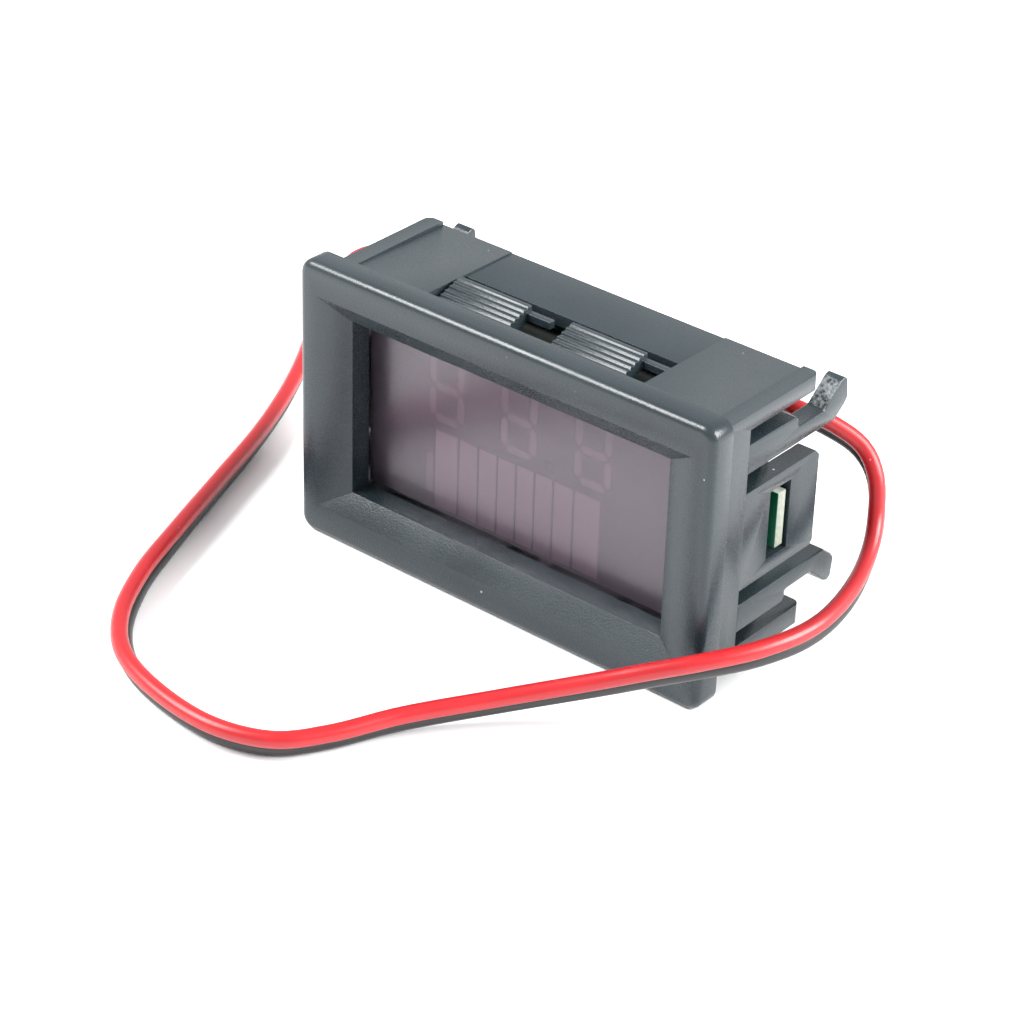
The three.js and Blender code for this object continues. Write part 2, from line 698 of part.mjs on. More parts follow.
[[11, 11.6], [5, 9.6]].forEach(([x, z], index) => {
  addPart(`filter_capacitor_${index + 1}`, chipPassive(x, z, 2, 1.25, 1.1), CERAMIC());
});
[[-14, 11], [-14, 13.2], [-14, 15.4], [-14, 17.6]].forEach(([x, z], index) => {
  addPart(`resistor_${index + 1}`, chipPassive(x, z, 2, 1.25, 0.55), CHIP_RESIN());
});

// ---------------------------------------------------------------- twin lead

const FLOOR_UP = new THREE.Vector3(0, 0, 1);

// Centre line of one wire: side is +1 for red and -1 for black. The pair stays square to its path.
function wireCurve(side) {
  const middle = new THREE.CatmullRomCurve3(
    LEAD_ROUTE.map(([x, y, z]) => new THREE.Vector3(x, y, z)), false, 'centripetal',
  );
  const points = LEAD_ROUTE.map(([x, y, z, lean, spacing], index) => {
    const along = middle.getTangent(index / (LEAD_ROUTE.length - 1));
    const level = new THREE.Vector3().crossVectors(along, FLOOR_UP).normalize();
    const upright = new THREE.Vector3().crossVectors(level, along).normalize();
    const angle = THREE.MathUtils.degToRad(lean);
    return new THREE.Vector3(x, y, z)
      .addScaledVector(upright, Math.cos(angle) * side * spacing / 2)
      .addScaledVector(level, Math.sin(angle) * side * spacing / 2);
  });
  return new THREE.CatmullRomCurve3(points, false, 'centripetal');
}

function tube(curve, radius, sides, steps) {
  const section = new THREE.Shape();
  for (let i = 0; i < sides; i += 1) {
    const angle = (i / sides) * 2 * Math.PI;
    const point = [radius * Math.cos(angle), radius * Math.sin(angle)];
    if (i === 0) {
      section.moveTo(...point);
    } else {
      section.lineTo(...point);
    }
  }
  section.closePath();
  return toSolid(new THREE.ExtrudeGeometry(section, { steps, extrudePath: curve, bevelEnabled: false }));
}

for (const [name, side, insulation] of [['red', 1, RED_INSULATION], ['black', -1, BLACK_INSULATION]]) {
  const curve = wireCurve(side);
  addPart(`${name}_wire`, tube(curve, WIRE_DIAMETER / 2, WIRE_SIDES, WIRE_STEPS), insulation());

  // The stripped and tinned end carries straight on from the insulation.
  const end = curve.getPoint(1);
  const heading = curve.getTangent(1).setZ(0).normalize();
  const bare = new THREE.CylinderGeometry(0.4, 0.42, TIP_LENGTH, WIRE_SIDES);
  bare.applyQuaternion(new THREE.Quaternion().setFromUnitVectors(new THREE.Vector3(0, 1, 0), heading));
  const centre = end.clone().addScaledVector(heading, GAP + TIP_LENGTH / 2);
  bare.translate(centre.x, centre.y, centre.z);
  addPart(`${name}_wire_tip`, toSolid(bare), SOLDER());

  // Solder joint on the board with the last of the bare conductor standing out of it.
  const stub = LEAD_START[1] - SEAT - GAP;
  addPart(`${name}_solder_joint`, turned([
    [0, 0],
    [1.15, 0],
    [1.0, 0.35],
    [0.62, 0.75],
    [0.4, 0.95],
    [0.38, stub],
    [0, stub],
  ], LEAD_START[0], SEAT, LEAD_START[2] + side * SOLDER_SPACING / 2, 12), SOLDER());
}

export default part;
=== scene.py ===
"""Looks of a snap-in panel voltmeter, laid out as a Blender add-on: one operator per piece or
group of like pieces, one for the stage, and a sidebar panel that lists them."""

import math

import bmesh
import bpy
from mathutils import Matrix, Vector


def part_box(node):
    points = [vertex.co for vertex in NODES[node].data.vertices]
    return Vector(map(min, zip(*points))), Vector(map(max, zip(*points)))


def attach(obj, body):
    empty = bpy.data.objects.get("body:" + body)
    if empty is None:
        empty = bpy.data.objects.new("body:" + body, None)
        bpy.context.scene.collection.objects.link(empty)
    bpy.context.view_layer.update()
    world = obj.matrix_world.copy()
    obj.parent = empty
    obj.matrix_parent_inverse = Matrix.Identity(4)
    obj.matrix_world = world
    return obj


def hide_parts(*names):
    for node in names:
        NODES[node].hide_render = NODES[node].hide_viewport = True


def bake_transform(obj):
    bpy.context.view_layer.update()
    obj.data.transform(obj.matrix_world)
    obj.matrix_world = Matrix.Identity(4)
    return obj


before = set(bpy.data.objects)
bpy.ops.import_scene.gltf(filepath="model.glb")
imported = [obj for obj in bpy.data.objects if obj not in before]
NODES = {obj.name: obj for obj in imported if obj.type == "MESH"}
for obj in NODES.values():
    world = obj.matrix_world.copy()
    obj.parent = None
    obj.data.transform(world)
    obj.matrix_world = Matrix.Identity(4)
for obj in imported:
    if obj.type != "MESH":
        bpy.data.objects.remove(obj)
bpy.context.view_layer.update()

bl_info = {
    "name": "Panel voltmeter",
    "version": (1, 0, 0),
    "blender": (4, 5, 0),
    "location": "View3D > Sidebar > Voltmeter",
    "description": "Builds the case, display, circuit board and twin lead of a panel voltmeter",
    "category": "Object",
}

MM = 0.001
FRONT_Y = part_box("housing")[0].y
HOOK_FRONT_Y = FRONT_Y + 18.5 * MM
BOARD_BACK_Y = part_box("main_board")[1].y
HOOK_REAR_BEVEL = 1.4 * MM
HOOK_RISE = 0.55 * MM
ROOT_OVERLAP = 0.45 * MM
PATH_STEP = 0.8
STRAND_OVERLAP = 0.6 * MM
FACE_SKIN = 0.05 * MM
BOARD_THICKNESS = {"main_board": 1.2 * MM, "led_carrier": 0.9 * MM}
PIN_COLUMNS = 6
CHIP_END = 0.445 * MM
CHIP_LEADS_PER_SIDE = 10
CHIP_LEAD_PITCH = 0.65 * MM

# Middle of the twin lead from the board to its free end, in millimetres behind the front face:
# x, y, z, the lean in degrees of the red wire over the black one, and the wires' spacing.
LEAD_ROUTE = [
    (6.4, 15.2, 20.7, 0, 2.54), (6.4, 16.5, 20.8, 8, 2.1), (7.4, 19.3, 20.9, 20, 1.8),
    (10.5, 21.1, 20.8, 32, 1.8), (17.3, 21.4, 19.9, 42, 1.8), (20.3, 23.4, 18.4, 45, 1.8),
    (22.9, 24.8, 16.5, 42, 1.8), (24.8, 24.6, 14.4, 28, 1.8), (26.1, 23.4, 10.6, 2, 1.8),
    (27.3, 20.6, 8.5, -12, 1.8), (29.1, 14.7, 7.5, -16, 1.8), (29.6, 8.6, 7.2, -23, 1.8),
    (28.1, 3.2, 7, -29, 1.8), (25.1, -1.5, 6.6, -33, 1.8), (21.8, -4.3, 5.6, -36, 1.8),
    (18.4, -6.9, 4.4, -36, 1.8), (12, -12.9, 2.7, -36, 1.8), (6.6, -19.9, 1.9, -35, 1.8),
    (3.5, -25.8, 1.6, -35, 1.8), (0.8, -29.5, 1.6, -35, 1.8), (-4.2, -31.5, 1.62, -32, 1.8),
    (-11.7, -31.1, 1.65, -28, 1.8), (-17.8, -29.1, 1.69, -22, 1.8), (-22.2, -25.5, 1.75, -8, 1.8),
    (-26.3, -19.2, 1.75, 7, 1.8), (-29.7, -11.2, 1.73, 16, 1.8), (-33.1, -2.4, 1.7, 21, 1.8),
    (-36.7, 7, 1.7, 24, 1.8), (-40.2, 14.6, 1.7, 22, 1.8), (-44, 21.4, 1.72, 20, 1.8),
    (-48.9, 29, 1.74, 14, 1.8), (-53.5, 37.9, 1.76, 8, 1.8), (-55.3, 42.4, 1.76, 7, 1.8),
    (-54.5, 45.3, 1.75, 10, 1.8), (-51.7, 47.2, 1.7, 24, 1.8), (-46.8, 47.6, 1.36, 58, 1.8),
    (-39, 46.2, 0.94, 86, 1.8), (-28, 43, 0.87, 90, 2.1), (-20, 40.4, 0.87, 90, 3.4),
]


# ------------------------------------------------------------------ sizes and colours

def colour(name, description, default):
    return bpy.props.FloatVectorProperty(
        name=name, description=description, default=default, size=3,
        subtype="COLOR", min=0, max=1,
    )


def length(name, description, millimetres):
    return bpy.props.FloatProperty(
        name=name, description=description, default=millimetres * MM,
        subtype="DISTANCE", unit="LENGTH", precision=5, min=0,
    )


def share(name, description, default, top=1.0):
    return bpy.props.FloatProperty(
        name=name, description=description, default=default, subtype="FACTOR", min=0, max=top,
    )


class CaseSettings(bpy.types.PropertyGroup):
    """Moulded case, arms and grips"""
    plastic: colour("Plastic", "Colour of the moulded case", (0.013, 0.02, 0.024))
    roughness: share("Roughness", "Roughness of the moulded skin", 0.26)
    grain: length("Grain", "Size of the spark-eroded grain", 0.17)
    edge: length("Edge rounding", "Rounding of the moulded edges", 0.2)
    fine_edge: length("Fine edge rounding", "Rounding of the saw teeth", 0.05)


class DisplaySettings(bpy.types.PropertyGroup):
    """Lens and display module"""
    lens: colour("Lens tint", "Tint of the smoked lens", (0.745, 0.65, 0.735))
    face: colour("Face", "Printed face of the module", (0.138, 0.134, 0.146))
    # Body colour darkened to near black as painted shade, so that the inside of the case seen between the
    # grips reads dark.
    body: colour("Body", "Moulded body behind the face", (0.08, 0.09, 0.085))
    epoxy: colour("Epoxy", "Milky epoxy of the battery bars", (0.272, 0.232, 0.25))
    digits: colour("Digits", "Thinner epoxy of the digits", (0.21, 0.186, 0.2))


class LeadSettings(bpy.types.PropertyGroup):
    """Red and black twin lead"""
    diameter: length("Wire diameter", "Outside diameter of one wire", 1.6)
    web: length("Web reach", "Distance from a wire's middle to the seam of the pair", 0.9)
    red: colour("Red", "Insulation of the positive wire", (0.38, 0.005, 0.009))
    black: colour("Black", "Insulation of the negative wire", (0.01, 0.01, 0.011))
    strand: length("Strand", "Diameter of one copper strand", 0.26)
    strands: bpy.props.IntProperty(
        name="Strands", description="Strands in each bare end", default=7, min=3, max=19,
    )


class BoardSettings(bpy.types.PropertyGroup):
    """Circuit board and what is soldered to it"""
    mask: colour("Solder mask", "Colour of the solder mask", (0.0, 0.06, 0.028))
    laminate: colour("Laminate", "Sawn edge of the glass laminate", (0.27, 0.29, 0.24))
    resin: colour("Resin", "Moulding resin of the chips", (0.018, 0.018, 0.02))
    ceramic: colour("Ceramic", "Body of the chip capacitors", (0.36, 0.23, 0.11))
    tin: colour("Tin", "Solder and tinned leads", (0.36, 0.36, 0.35))
    track: length("Track width", "Width of the copper tracks", 0.3)


class StageSettings(bpy.types.PropertyGroup):
    """Floor, light and camera"""
    floor: colour("Floor", "Colour of the floor", (0.93, 0.93, 0.93))
    sky: share("Surround", "Brightness of the pale surround", 1.0, top=10)
    key: share("Key light", "Power of the key light in watts", 7.4, top=500)
    fill: share("Rear light", "Power of the rear light in watts", 13.5, top=500)
    focal_length: bpy.props.FloatProperty(
        name="Focal length", description="Focal length on a 36 mm sensor", default=112.9,
        subtype="DISTANCE_CAMERA", min=10,
    )


def settings(group):
    return getattr(bpy.context.scene, "meter_" + group)


# ------------------------------------------------------------------ node trees

def add(tree, kind, inputs=None, **options):
    """A node with its options and inputs set; an input takes a value or another node's output."""
    node = tree.nodes.new(kind)
    for key, value in options.items():
        setattr(node, key, value)
    for key, value in (inputs or {}).items():
        if isinstance(value, bpy.types.NodeSocket):
            tree.links.new(value, node.inputs[key])
        else:
            node.inputs[key].default_value = value
    return node


def math_node(tree, operation, a, b=0.0):
    return add(tree, "ShaderNodeMath", {0: a, 1: b}, operation=operation).outputs[0]


def ramp(tree, value, low, high, to_low=0.0, to_high=1.0):
    node = add(tree, "ShaderNodeMapRange", {
        "Value": value, "From Min": low, "From Max": high, "To Min": to_low, "To Max": to_high,
    })
    return node.outputs[0]


def blended(tree, mask, first, second):
    """Colour that goes from first to second as the mask goes from 0 to 1."""
    def four(value):
        return value if isinstance(value, bpy.types.NodeSocket) else (*value, 1)
    node = add(tree, "ShaderNodeMix", {0: mask, 6: four(first), 7: four(second)}, data_type="RGBA")
    return node.outputs[2]


def effect(name, inputs, outputs):
    """An empty shader node group with float inputs and outputs, and its two end nodes."""
    tree = bpy.data.node_groups.new(name, "ShaderNodeTree")
    for label, default in inputs:
        socket = tree.interface.new_socket(label, in_out="INPUT", socket_type="NodeSocketFloat")
        socket.default_value = default
    for label in outputs:
        tree.interface.new_socket(label, in_out="OUTPUT", socket_type="NodeSocketFloat")
    return tree, tree.nodes.new("NodeGroupInput"), tree.nodes.new("NodeGroupOutput")


def moulded_grain_group():
    """Spark-eroded skin: round grains of uneven height, with a finer tooth on top."""
    tree, start, end = effect("moulded_grain", [("Size", 0.0001)], ["Height", "Glint"])
    place = add(tree, "ShaderNodeTexCoord").outputs["Object"]
    scale = math_node(tree, "DIVIDE", 1.0, start.outputs["Size"])
    cells = add(tree, "ShaderNodeTexVoronoi", {"Vector": place, "Scale": scale}, feature="SMOOTH_F1")
    fine = add(tree, "ShaderNodeTexNoise", {
        "Vector": place, "Scale": math_node(tree, "MULTIPLY", scale, 2.3), "Detail": 1.0,
    })
    height = math_node(tree, "ADD", math_node(tree, "MULTIPLY", cells.outputs["Distance"], -0.8),
                       math_node(tree, "MULTIPLY", fine.outputs["Fac"], 0.6))
    tree.links.new(height, end.inputs["Height"])
    tree.links.new(ramp(tree, fine.outputs["Fac"], 0.35, 0.7), end.inputs["Glint"])
    return tree


def dust_group():
    """Sparse specks: a few cells of a fine pattern hold a small round grain each."""
    tree, start, end = effect("dust_specks", [("Size", 0.001), ("Amount", 0.1)], ["Mask"])
    place = add(tree, "ShaderNodeTexCoord").outputs["Object"]
    cells = add(tree, "ShaderNodeTexVoronoi", {
        "Vector": place, "Scale": math_node(tree, "DIVIDE", 1.0, start.outputs["Size"]),
    })
    pick = add(tree, "ShaderNodeSeparateColor", {"Color": cells.outputs["Color"]})
    chosen = math_node(tree, "LESS_THAN", pick.outputs[0], start.outputs["Amount"])
    radius = ramp(tree, pick.outputs[1], 0.0, 1.0, 0.03, 0.1)
    grain = math_node(tree, "LESS_THAN", cells.outputs["Distance"], radius)
    tree.links.new(math_node(tree, "MULTIPLY", chosen, grain), end.inputs["Mask"])
    return tree


def handling_group():
    """Broad uneven patches left by moulding and fingers, with faint streaks through them."""
    tree, start, end = effect("handling", [("Size", 0.01)], ["Mask"])
    place = add(tree, "ShaderNodeTexCoord").outputs["Object"]
    scale = math_node(tree, "DIVIDE", 1.0, start.outputs["Size"])
    broad = add(tree, "ShaderNodeTexNoise", {"Vector": place, "Scale": scale, "Detail": 3.0})
    drawn = add(tree, "ShaderNodeMapping", {"Vector": place, "Scale": (1.0, 6.0, 6.0)})
    streaks = add(tree, "ShaderNodeTexNoise", {
        "Vector": drawn.outputs[0], "Scale": scale, "Detail": 4.0,
    })
    both = math_node(tree, "ADD", math_node(tree, "MULTIPLY", broad.outputs["Fac"], 0.82),
                     math_node(tree, "MULTIPLY", streaks.outputs["Fac"], 0.18))
    tree.links.new(ramp(tree, both, 0.35, 0.65), end.inputs["Mask"])
    return tree


EFFECTS = {"moulded_grain": moulded_grain_group, "dust_specks": dust_group, "handling": handling_group}


def placed(tree, name, **values):
    """A shared effect placed in a material, built the first time that it is asked for."""
    group = bpy.data.node_groups.get(name) or EFFECTS[name]()
    node = tree.nodes.new("ShaderNodeGroup")
    node.node_tree = group
    for key, value in values.items():
        node.inputs[key.capitalize()].default_value = value
    return node


def material(name, inputs):
    """A new material with a principled shader: (material, its tree, the shader)."""
    made = bpy.data.materials.new(name)
    made.use_nodes = True
    tree = made.node_tree
    shader = tree.nodes["Principled BSDF"]
    for key, value in inputs.items():
        shader.inputs[key].default_value = value
    return made, tree, shader


def bumped(tree, shader, height, depth, strength=1.0):
    bump = add(tree, "ShaderNodeBump", {"Height": height, "Distance": depth, "Strength": strength})
    tree.links.new(bump.outputs[0], shader.inputs["Normal"])


def moulded(name, tone, roughness, grain, depth, dust=0.05, patches=0.012, fade=1.35, **inputs):
    """Moulded plastic: grained skin, uneven polish and a little dust."""
    made, tree, shader = material(name, {"IOR": 1.46, **inputs})
    skin = placed(tree, "moulded_grain", size=grain)
    patch = placed(tree, "handling", size=patches)
    specks = placed(tree, "dust_specks", size=1.1 * MM, amount=dust)
    worn = blended(tree, patch.outputs["Mask"], tone, [min(1, c * fade) for c in tone])
    dusty = blended(tree, specks.outputs["Mask"], worn, (0.42, 0.43, 0.42))
    tree.links.new(dusty, shader.inputs["Base Color"])
    rough = math_node(
        tree, "ADD", ramp(tree, patch.outputs["Mask"], 0, 1, roughness - 0.05, roughness + 0.05),
        ramp(tree, skin.outputs["Glint"], 0, 1, 0.05, -0.05),
    )
    tree.links.new(rough, shader.inputs["Roughness"])
    bumped(tree, shader, skin.outputs["Height"], depth)
    return made


# ------------------------------------------------------------------ mesh helpers

def shown(name, mesh, *materials):
    """A new piece at the origin, with these materials."""
    for item in materials:
        mesh.materials.append(item)
    piece = bpy.data.objects.new(name, mesh)
    bpy.context.scene.collection.objects.link(piece)
    return piece


def settle(piece):
    """Turns a piece and its modifiers into a plain mesh."""
    evaluated = piece.evaluated_get(bpy.context.evaluated_depsgraph_get())
    mesh = bpy.data.meshes.new_from_object(evaluated)
    piece.modifiers.clear()
    piece.data = mesh
    mesh.name = piece.name
    return piece


def from_bmesh(name, shape):
    mesh = bpy.data.meshes.new(name)
    bmesh.ops.recalc_face_normals(shape, faces=shape.faces)
    shape.to_mesh(mesh)
    shape.free()
    return mesh


def copied(node, change=None):
    """A merged copy of a CAD node's mesh in convex flat faces, after change(bmesh) if given."""
    shape = bmesh.new()
    shape.from_mesh(NODES[node].data)
    bmesh.ops.remove_doubles(shape, verts=shape.verts, dist=0.002 * MM)
    if change:
        change(shape)
    bmesh.ops.dissolve_limit(
        shape, angle_limit=math.radians(0.6), verts=shape.verts, edges=shape.edges,
    )
    bmesh.ops.connect_verts_concave(shape, faces=shape.faces)
    return from_bmesh(node, shape)


def rounded(name, mesh, edge, segments, *materials, choose=None):
    """A piece with rounded edges; choose(face centre) gives a face's material index."""
    if choose:
        for face in mesh.polygons:
            face.material_index = choose(face.center)
    piece = shown(name, mesh, *materials)
    for face in mesh.polygons:
        face.use_smooth = True
    bevel = piece.modifiers.new("edges", "BEVEL")
    bevel.width = edge
    bevel.segments = segments
    bevel.limit_method = "ANGLE"
    bevel.angle_limit = math.radians(32)
    bevel.miter_outer = "MITER_ARC"
    bevel.harden_normals = True
    return settle(piece)


def dress(node, finish):
    """Gives a CAD node that keeps its shape a better material."""
    for holder in NODES[node].material_slots:
        holder.material = finish


def stands_for(piece, slot, *nodes, body="case"):
    """The piece rides on a body and stands for these CAD nodes, which it hides; the slot argument is not
    used.
    """
    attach(piece, body)
    if nodes:
        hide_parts(*nodes)
    return piece


def lathe(name, profile, sides):
    """A turned mesh about +Y; the profile is (radius, distance) from its pole to its pole."""
    shape = bmesh.new()
    rings = []
    for radius, reach in profile:
        if radius == 0:
            rings.append([shape.verts.new((0, reach, 0))])
            continue
        rings.append([
            shape.verts.new((
                radius * math.cos(2 * math.pi * i / sides), reach,
                radius * math.sin(2 * math.pi * i / sides),
            )) for i in range(sides)
        ])
    for low, high in zip(rings, rings[1:]):
        for i in range(sides):
            j = (i + 1) % sides
            corners = [low[i % len(low)], low[j % len(low)], high[j % len(high)], high[i % len(high)]]
            shape.faces.new(list(dict.fromkeys(corners)))
    mesh = from_bmesh(name, shape)
    for face in mesh.polygons:
        face.use_smooth = True
    return mesh


# ------------------------------------------------------------------ geometry node trees

def generator(name, inputs):
    """An empty geometry tree with a geometry in and out and named inputs."""
    tree = bpy.data.node_groups.new(name, "GeometryNodeTree")
    tree.interface.new_socket("Geometry", in_out="INPUT", socket_type="NodeSocketGeometry")
    for label, kind, default in inputs:
        socket = tree.interface.new_socket(label, in_out="INPUT", socket_type=kind)
        if default is not None:
            socket.default_value = default
    tree.interface.new_socket("Geometry", in_out="OUTPUT", socket_type="NodeSocketGeometry")
    return tree, tree.nodes.new("NodeGroupInput"), tree.nodes.new("NodeGroupOutput")


def close_tree(tree, start, end, geometry):
    """Ends a tree in Realize Instances and Set Material."""
    real = add(tree, "GeometryNodeRealizeInstances", {"Geometry": geometry})
    painted = add(tree, "GeometryNodeSetMaterial", {
        "Geometry": real.outputs[0], "Material": start.outputs["Material"],
    })
    tree.links.new(painted.outputs[0], end.inputs[0])
    return tree


def copies_tree():
    """Copies the mesh over an upright grid of columns and rows; rows below the middle are turned."""
    tree, start, end = generator("copies_on_a_grid", [
        ("Columns", "NodeSocketInt", 2), ("Rows", "NodeSocketInt", 2),
        ("Width", "NodeSocketFloat", 0.01), ("Height", "NodeSocketFloat", 0.01),
        ("Lower Row Turn", "NodeSocketFloat", 0.0), ("Material", "NodeSocketMaterial", None),
    ])
    grid = add(tree, "GeometryNodeMeshGrid", {
        "Size X": start.outputs["Width"], "Size Y": start.outputs["Height"],
        "Vertices X": start.outputs["Columns"], "Vertices Y": start.outputs["Rows"],
    })
    upright = add(tree, "GeometryNodeTransform", {
        "Geometry": grid.outputs[0], "Rotation": (math.pi / 2, 0, 0),
    })
    place = add(tree, "ShaderNodeSeparateXYZ", {0: add(tree, "GeometryNodeInputPosition").outputs[0]})
    lower = math_node(tree, "LESS_THAN", place.outputs[2], 0.0)
    turn = add(tree, "ShaderNodeCombineXYZ", {
        1: math_node(tree, "MULTIPLY", lower, start.outputs["Lower Row Turn"]),
    })
    copies = add(tree, "GeometryNodeInstanceOnPoints", {
        "Points": upright.outputs[0], "Instance": start.outputs[0], "Rotation": turn.outputs[0],
    })
    return close_tree(tree, start, end, copies.outputs[0])


def tracks_tree():
    """Sweeps a flat section with filleted bends along every chain of edges."""
    tree, start, end = generator("raised_tracks", [
        ("Width", "NodeSocketFloat", 0.0003), ("Thickness", "NodeSocketFloat", 0.00005),
        ("Bend Radius", "NodeSocketFloat", 0.0005), ("Material", "NodeSocketMaterial", None),
    ])
    chain = add(tree, "GeometryNodeMeshToCurve", {"Mesh": start.outputs[0]})
    bent = add(tree, "GeometryNodeFilletCurve", {
        "Curve": chain.outputs[0], "Radius": start.outputs["Bend Radius"], "Count": 4,
        "Limit Radius": True,
    }, mode="POLY")
    level = add(tree, "GeometryNodeSetCurveNormal", {"Curve": bent.outputs[0]}, mode="MINIMUM_TWIST")
    section = add(tree, "GeometryNodeCurvePrimitiveCircle", {
        "Resolution": 8, "Radius": math_node(tree, "MULTIPLY", start.outputs["Width"], 0.5),
    })
    swept = add(tree, "GeometryNodeCurveToMesh", {
        "Curve": level.outputs[0], "Profile Curve": section.outputs[0], "Fill Caps": True,
    })
    squeeze = add(tree, "ShaderNodeCombineXYZ", {
        0: 1.0, 1: math_node(tree, "DIVIDE", start.outputs["Thickness"], start.outputs["Width"]), 2: 1.0,
    })
    flat = add(tree, "GeometryNodeTransform", {"Geometry": swept.outputs[0], "Scale": squeeze.outputs[0]})
    return close_tree(tree, start, end, flat.outputs[0])


def strands_tree():
    """Twists strands round a middle one, from the origin along +Z."""
    tree, start, end = generator("twisted_strands", [
        ("Strands", "NodeSocketInt", 7), ("Strand Diameter", "NodeSocketFloat", 0.0002),
        ("Length", "NodeSocketFloat", 0.006), ("Turns", "NodeSocketFloat", 1.2),
        ("Material", "NodeSocketMaterial", None),
    ])
    thick = start.outputs["Strand Diameter"]
    radius = math_node(tree, "MULTIPLY", thick, 0.5)
    helix = add(tree, "GeometryNodeCurveSpiral", {
        "Resolution": 28, "Rotations": start.outputs["Turns"], "Start Radius": thick,
        "End Radius": math_node(tree, "MULTIPLY", thick, 0.86), "Height": start.outputs["Length"],
    })
    section = add(tree, "GeometryNodeCurvePrimitiveCircle", {"Resolution": 10, "Radius": radius})
    outer = add(tree, "GeometryNodeCurveToMesh", {
        "Curve": helix.outputs[0], "Profile Curve": section.outputs[0], "Fill Caps": True,
    })
    count = math_node(tree, "SUBTRACT", start.outputs["Strands"], 1.0)
    points = add(tree, "GeometryNodePoints", {"Count": count})
    step = math_node(tree, "DIVIDE", 2 * math.pi, count)
    angle = math_node(tree, "MULTIPLY", add(tree, "GeometryNodeInputIndex").outputs[0], step)
    turned = add(tree, "ShaderNodeCombineXYZ", {2: angle})
    ring = add(tree, "GeometryNodeInstanceOnPoints", {
        "Points": points.outputs[0], "Instance": outer.outputs[0], "Rotation": turned.outputs[0],
    })
    reach = add(tree, "ShaderNodeCombineXYZ", {2: start.outputs["Length"]})
    middle_line = add(tree, "GeometryNodeCurvePrimitiveLine", {"End": reach.outputs[0]})
    middle = add(tree, "GeometryNodeCurveToMesh", {
        "Curve": middle_line.outputs[0], "Profile Curve": section.outputs[0], "Fill Caps": True,
    })
    both = add(tree, "GeometryNodeJoinGeometry")
    tree.links.new(ring.outputs[0], both.inputs[0])
    tree.links.new(middle.outputs[0], both.inputs[0])
    return close_tree(tree, start, end, both.outputs[0])


GENERATORS = {
    "copies_on_a_grid": copies_tree, "raised_tracks": tracks_tree, "twisted_strands": strands_tree,
}


def generated(name, mesh, tree_name, place, **values):
    """Runs a generator over a mesh and leaves the plain result, moved to its place."""
    piece = shown(name, mesh)
    tree = bpy.data.node_groups.get(tree_name) or GENERATORS[tree_name]()
    modifier = piece.modifiers.new(tree_name, "NODES")
    modifier.node_group = tree
    sockets = {item.name: item.identifier for item in tree.interface.items_tree if item.in_out == "INPUT"}
    for key, value in values.items():
        modifier[sockets[key.replace("_", " ").title()]] = value
    settle(piece)
    piece.data.transform(place)
    for face in piece.data.polygons:
        face.use_smooth = True
    return piece


# ------------------------------------------------------------------ route of the twin lead

def centripetal(points, t):
    """Point of a centripetal Catmull-Rom spline through the points, t from 0 to 1."""
    count = len(points)
    p = (count - 1) * t
    i = min(int(p), count - 2)
    weight = p - i
    first = points[i - 1] if i > 0 else points[0] * 2 - points[1]
    last = points[i + 2] if i + 2 < count else points[-1] * 2 - points[-2]
    p0, p1, p2, p3 = first, points[i], points[i + 1], last
    d0, d1, d2 = ((b - a).length_squared ** 0.25 for a, b in ((p0, p1), (p1, p2), (p2, p3)))
    d1 = d1 if d1 > 1e-4 else 1.0
    d0 = d0 if d0 > 1e-4 else d1
    d2 = d2 if d2 > 1e-4 else d1
    t1 = ((p1 - p0) / d0 - (p2 - p0) / (d0 + d1) + (p2 - p1) / d1) * d1
    t2 = ((p2 - p1) / d1 - (p3 - p1) / (d1 + d2) + (p3 - p2) / d2) * d1
    c2 = p1 * -3 + p2 * 3 - t1 * 2 - t2
    c3 = p1 * 2 - p2 * 2 + t1 + t2
    return p1 + t1 * weight + c2 * weight ** 2 + c3 * weight ** 3


def wire_points(side):
    """Route points of one wire in millimetres: side is +1 for red and -1 for black."""
    middle = [Vector(row[:3]) for row in LEAD_ROUTE]
    points = []
    for index, (x, y, z, lean, spacing) in enumerate(LEAD_ROUTE):
        t = index / (len(LEAD_ROUTE) - 1)
        low, high = max(0, t - 1e-4), min(1, t + 1e-4)
        along = (centripetal(middle, high) - centripetal(middle, low)).normalized()
        level = along.cross(Vector((0, 0, 1))).normalized()
        upright = level.cross(along).normalized()
        angle = math.radians(lean)
        offset = upright * math.cos(angle) + level * math.sin(angle)
        points.append(Vector((x, y, z)) + offset * (side * spacing / 2))
    return points


def evenly(points, step):
    """Points on the spline about step apart, ends included."""
    dense = [centripetal(points, i / 6000) for i in range(6001)]
    run = [0.0]
    for a, b in zip(dense, dense[1:]):
        run.append(run[-1] + (b - a).length)
    count = round(run[-1] / step)
    placed_at, at = [], 0
    for k in range(count + 1):
        goal = run[-1] * k / count
        while at < len(run) - 2 and run[at + 1] < goal:
            at += 1
        span = run[at + 1] - run[at]
        placed_at.append(dense[at].lerp(dense[at + 1], (goal - run[at]) / span))
    return placed_at


def in_frame(point):
    return Vector((point.x * MM, point.y * MM + FRONT_Y, point.z * MM))


